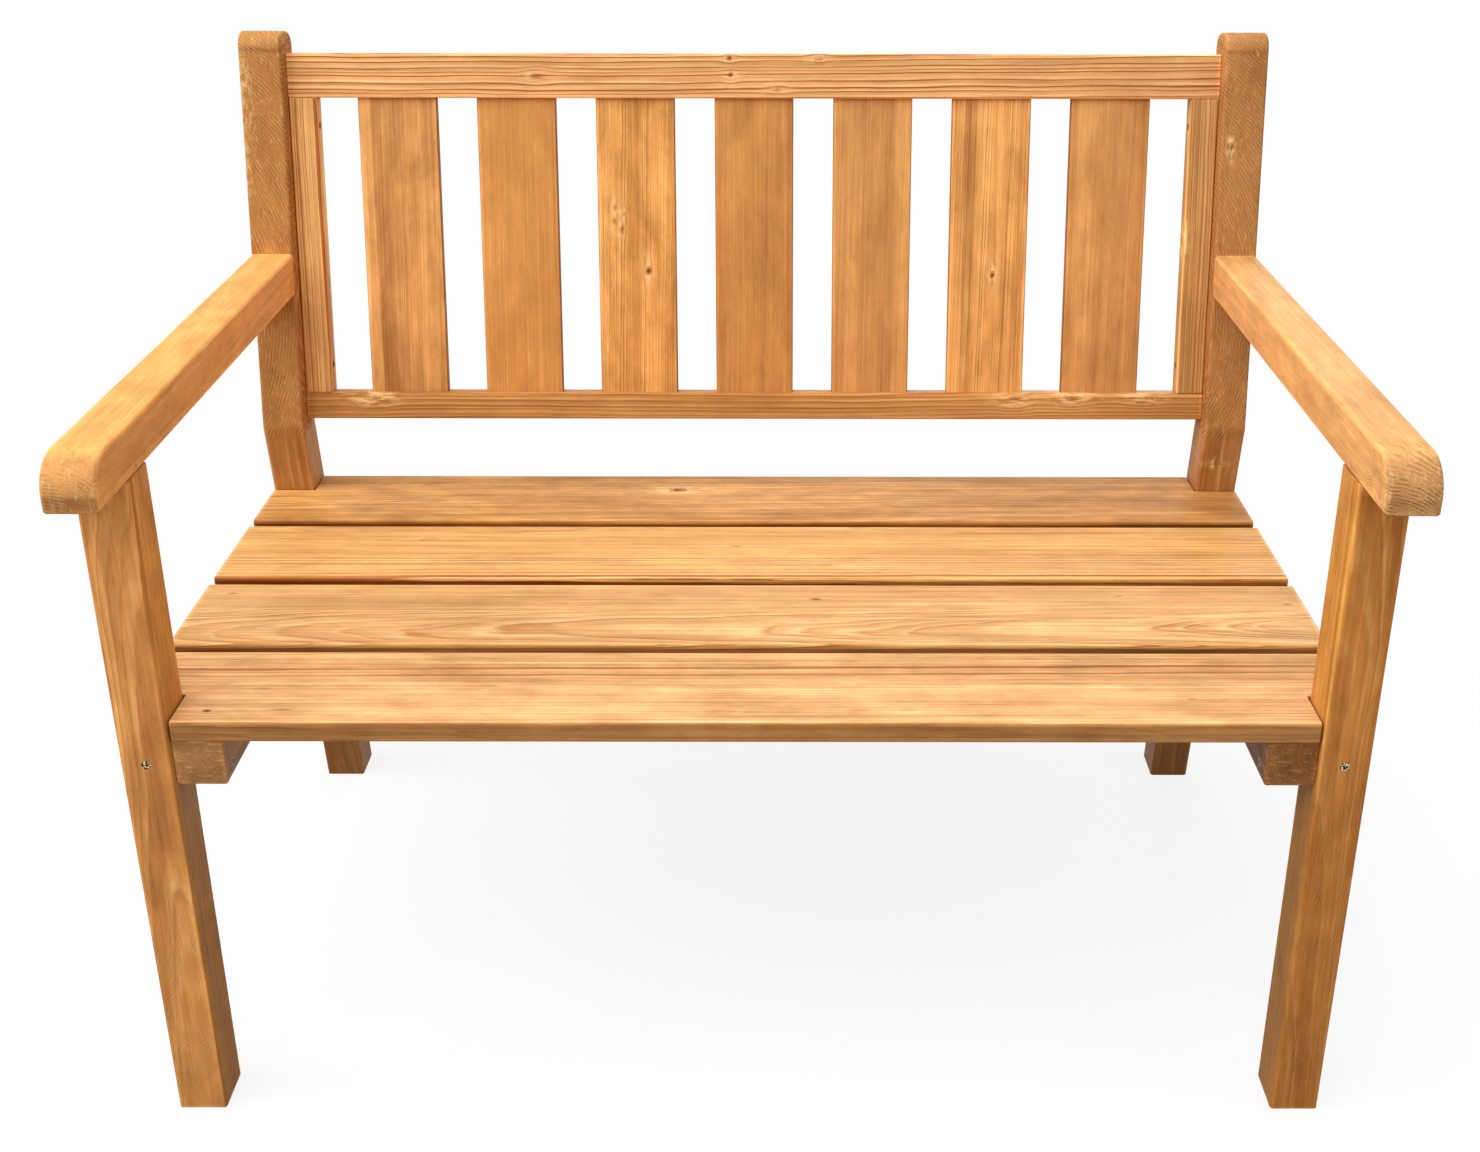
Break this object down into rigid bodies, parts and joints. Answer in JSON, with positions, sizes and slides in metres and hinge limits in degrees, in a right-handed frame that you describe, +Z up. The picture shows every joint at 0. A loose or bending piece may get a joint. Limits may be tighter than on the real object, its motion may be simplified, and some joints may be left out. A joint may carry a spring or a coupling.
{
  "type": "mission settle",
  "caption": "Slatted two-seat garden settle in golden-stained softwood, with square legs, round-nosed armrests, bent rear legs and an upright slatted back panel.",
  "frame": {"origin": "middle of the footprint on the floor", "axes": "+X to the right of the front view, the front of the seat faces -Y, +Z up"},
  "size_m": [1.09, 0.6542, 0.9327],
  "materials": {
    "stained_softwood": "golden-brown stained pine, planed and sanded, satin, with grain and knots",
    "peg_wood": "turned softwood dowel, stained",
    "screw_steel": "yellow zinc-plated steel"
  },
  "bodies": {
    "root": {"armrest_left": "stained_softwood", "armrest_pegs": "peg_wood", "armrest_right": "stained_softwood", "back_bottom_rail": "stained_softwood", "back_slat_1": "stained_softwood", "back_slat_2": "stained_softwood", "back_slat_3": "stained_softwood", "back_slat_4": "stained_softwood", "back_slat_5": "stained_softwood", "back_slat_6": "stained_softwood", "back_slat_7": "stained_softwood", "back_stile_left": "stained_softwood", "back_stile_right": "stained_softwood", "back_top_rail": "stained_softwood", "batten_screws": "screw_steel", "frame_screws": "screw_steel", "front_leg_left": "stained_softwood", "front_leg_right": "stained_softwood", "rear_leg_left": "stained_softwood", "rear_leg_right": "stained_softwood", "seat_bearer_left": "stained_softwood", "seat_bearer_right": "stained_softwood", "seat_board_1": "stained_softwood", "seat_board_2": "stained_softwood", "seat_board_3": "stained_softwood", "seat_board_4": "stained_softwood", "seat_centre_batten": "stained_softwood", "seat_screws": "screw_steel", "side_rail_left": "stained_softwood", "side_rail_right": "stained_softwood", "stile_screws": "screw_steel"}
  },
  "joints": []
}
